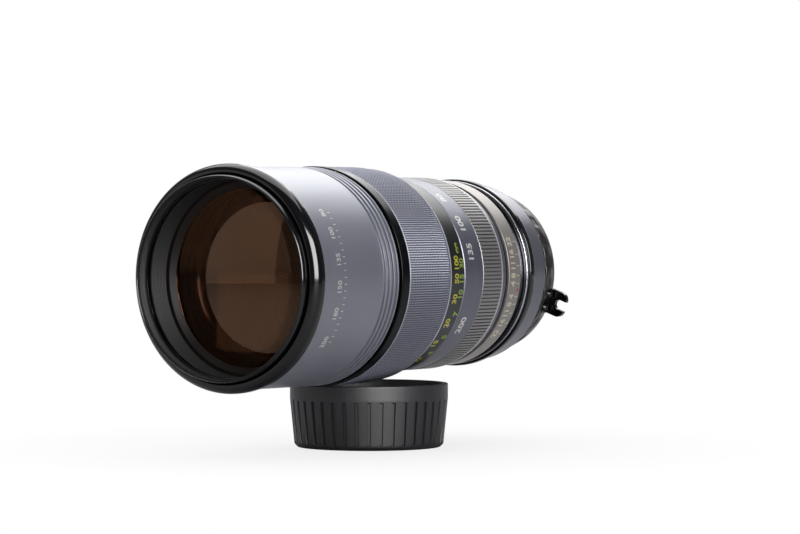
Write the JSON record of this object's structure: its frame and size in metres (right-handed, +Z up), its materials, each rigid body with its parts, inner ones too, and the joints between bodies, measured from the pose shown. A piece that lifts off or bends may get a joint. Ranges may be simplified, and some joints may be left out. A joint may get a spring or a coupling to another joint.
{
  "type": "camera zoom lens",
  "caption": "Large two-ring telephoto zoom lens lying on its rear cap, with turning focus, zoom and aperture rings, moving inner cells, an iris and a bayonet mount.",
  "frame": {"origin": "centre of the mount plane on the optical axis", "axes": "+Y along the optical axis out of the mount, +Z up, away from the rear cap"},
  "size_m": [0.0872, 0.1946, 0.1122],
  "materials": {
    "gloss_black": "gloss black paint",
    "satin_grey": "satin blue-grey crackle paint",
    "knurled_grey": "knurled satin anodised",
    "ribbed_grey": "finely ribbed satin anodised",
    "scale_black": "satin black with numerals",
    "index_silver": "satin silver",
    "red_dot": "red enamel",
    "trim_silver": "polished",
    "inner_black": "matt black anodised",
    "brass_metal": "turned",
    "mount_chrome": "satin chrome",
    "steel": "plain",
    "blade_steel": "blackened",
    "front_glass": "amber coating",
    "inner_glass": "coated",
    "cap_plastic": "matt dark grey"
  },
  "bodies": {
    "root": {"main_barrel": "inner_black", "focus_stop_screw": "steel", "guide_keys": "brass_metal", "guide_tube": "inner_black", "relay_cell": "inner_black", "relay_element": "inner_glass", "iris_housing": "inner_black", "rear_barrel": "gloss_black", "click_ball": "steel", "click_spring": "steel", "index_ring": "index_silver", "index_dot": "red_dot", "trim_ring": "trim_silver", "hold_ring": "satin_grey", "mount_flange": "mount_chrome", "mount_screws": "steel", "rear_cell": "inner_black", "rear_element_front": "inner_glass", "rear_element_rear": "inner_glass", "rear_retaining_ring": "inner_black", "lever_spring": "steel"},
    "front_group": {"filter_ring": "gloss_black", "front_bezel": "gloss_black", "front_barrel": "satin_grey", "front_cell": "inner_black", "front_retaining_ring": "inner_black", "front_element_crown": "front_glass", "front_element_flint": "inner_glass", "front_spacer": "inner_black", "front_element_inner": "inner_glass", "helicoid_tube": "brass_metal"},
    "focus": {"focus_ring": "gloss_black", "focus_grip": "knurled_grey", "distance_scale_ring": "scale_black", "scale_screws": "steel"},
    "zoom": {"zoom_ring": "satin_grey", "zoom_grip": "ribbed_grey", "zoom_key": "steel", "cam_sleeve": "brass_metal"},
    "variator": {"variator_cell": "inner_black", "variator_pins": "brass_metal", "variator_element_front": "inner_glass", "variator_element_rear": "inner_glass"},
    "compensator": {"compensator_cell": "inner_black", "compensator_pins": "brass_metal", "compensator_element": "inner_glass"},
    "aperture": {"aperture_ring": "scale_black", "meter_fork": "gloss_black", "fork_screws": "steel"},
    "iris": {"iris_rotor": "steel"},
    "stop_down": {"stop_down_lever": "steel"},
    "cap": {"rear_cap": "cap_plastic"},
    "blade_1": {"iris_blade_1": "blade_steel"},
    "blade_2": {"iris_blade_2": "blade_steel"},
    "blade_3": {"iris_blade_3": "blade_steel"},
    "blade_4": {"iris_blade_4": "blade_steel"},
    "blade_5": {"iris_blade_5": "blade_steel"},
    "blade_6": {"iris_blade_6": "blade_steel"},
    "blade_7": {"iris_blade_7": "blade_steel"}
  },
  "joints": [
    {"name": "focus_turn", "type": "hinge", "parent": "root", "child": "focus", "pos_m": [0, -0.1, 0], "axis": [0, -1, 0], "range_deg": [-26, 124]},
    {"name": "front_extend", "type": "slide", "parent": "root", "child": "front_group", "axis": [0, -1, 0], "range_m": [-0.00145, 0.00689]},
    {"name": "zoom_turn", "type": "hinge", "parent": "root", "child": "zoom", "pos_m": [0, -0.06, 0], "axis": [0, -1, 0], "range_deg": [-63, 20]},
    {"name": "variator_slide", "type": "slide", "parent": "root", "child": "variator", "axis": [0, 1, 0], "range_m": [-0.0182, 0.00578]},
    {"name": "compensator_slide", "type": "slide", "parent": "root", "child": "compensator", "axis": [0, 1, 0], "range_m": [-0.00167, 0.00525]},
    {"name": "aperture_turn", "type": "hinge", "parent": "root", "child": "aperture", "pos_m": [0, -0.006, 0], "axis": [0, -1, 0], "range_deg": [-7, 35]},
    {"name": "iris_turn", "type": "hinge", "parent": "root", "child": "iris", "pos_m": [0, -0.04, 0], "axis": [0, -1, 0], "range_deg": [-0.6, 2.99]},
    {"name": "stop_down_turn", "type": "hinge", "parent": "root", "child": "stop_down", "pos_m": [0, -0.005, 0], "axis": [0, -1, 0], "range_deg": [0, 32], "stiffness_Nm_per_rad": 0.01},
    {"name": "cap_slide", "type": "slide", "parent": "root", "child": "cap", "axis": [0, 0, -1], "range_m": [0, 0.03]},
    {"name": "blade_1_swing", "type": "hinge", "parent": "root", "child": "blade_1", "pos_m": [0.023, -0.04, 0], "axis": [0, -1, 0], "range_deg": [-5.22, 26.08]},
    {"name": "blade_2_swing", "type": "hinge", "parent": "root", "child": "blade_2", "pos_m": [0.01434, -0.04, 0.01798], "axis": [0, -1, 0], "range_deg": [-5.22, 26.08]},
    {"name": "blade_3_swing", "type": "hinge", "parent": "root", "child": "blade_3", "pos_m": [-0.00512, -0.04, 0.02242], "axis": [0, -1, 0], "range_deg": [-5.22, 26.08]},
    {"name": "blade_4_swing", "type": "hinge", "parent": "root", "child": "blade_4", "pos_m": [-0.02072, -0.04, 0.00998], "axis": [0, -1, 0], "range_deg": [-5.22, 26.08]},
    {"name": "blade_5_swing", "type": "hinge", "parent": "root", "child": "blade_5", "pos_m": [-0.02072, -0.04, -0.00998], "axis": [0, -1, 0], "range_deg": [-5.22, 26.08]},
    {"name": "blade_6_swing", "type": "hinge", "parent": "root", "child": "blade_6", "pos_m": [-0.00512, -0.04, -0.02242], "axis": [0, -1, 0], "range_deg": [-5.22, 26.08]},
    {"name": "blade_7_swing", "type": "hinge", "parent": "root", "child": "blade_7", "pos_m": [0.01434, -0.04, -0.01798], "axis": [0, -1, 0], "range_deg": [-5.22, 26.08]}
  ],
  "couplings": [
    {"joint": "front_extend", "follows": "focus_turn", "m_per_rad": 0.0031831},
    {"joint": "variator_slide", "follows": "zoom_turn", "m_per_rad": 0.016552},
    {"joint": "compensator_slide", "follows": "zoom_turn", "m_per_rad": -0.0047746},
    {"joint": "iris_turn", "follows": "aperture_turn", "ratio": 0.085261},
    {"joint": "blade_1_swing", "follows": "aperture_turn", "ratio": 0.74524},
    {"joint": "blade_2_swing", "follows": "aperture_turn", "ratio": 0.74524},
    {"joint": "blade_3_swing", "follows": "aperture_turn", "ratio": 0.74524},
    {"joint": "blade_4_swing", "follows": "aperture_turn", "ratio": 0.74524},
    {"joint": "blade_5_swing", "follows": "aperture_turn", "ratio": 0.74524},
    {"joint": "blade_6_swing", "follows": "aperture_turn", "ratio": 0.74524},
    {"joint": "blade_7_swing", "follows": "aperture_turn", "ratio": 0.74524}
  ]
}
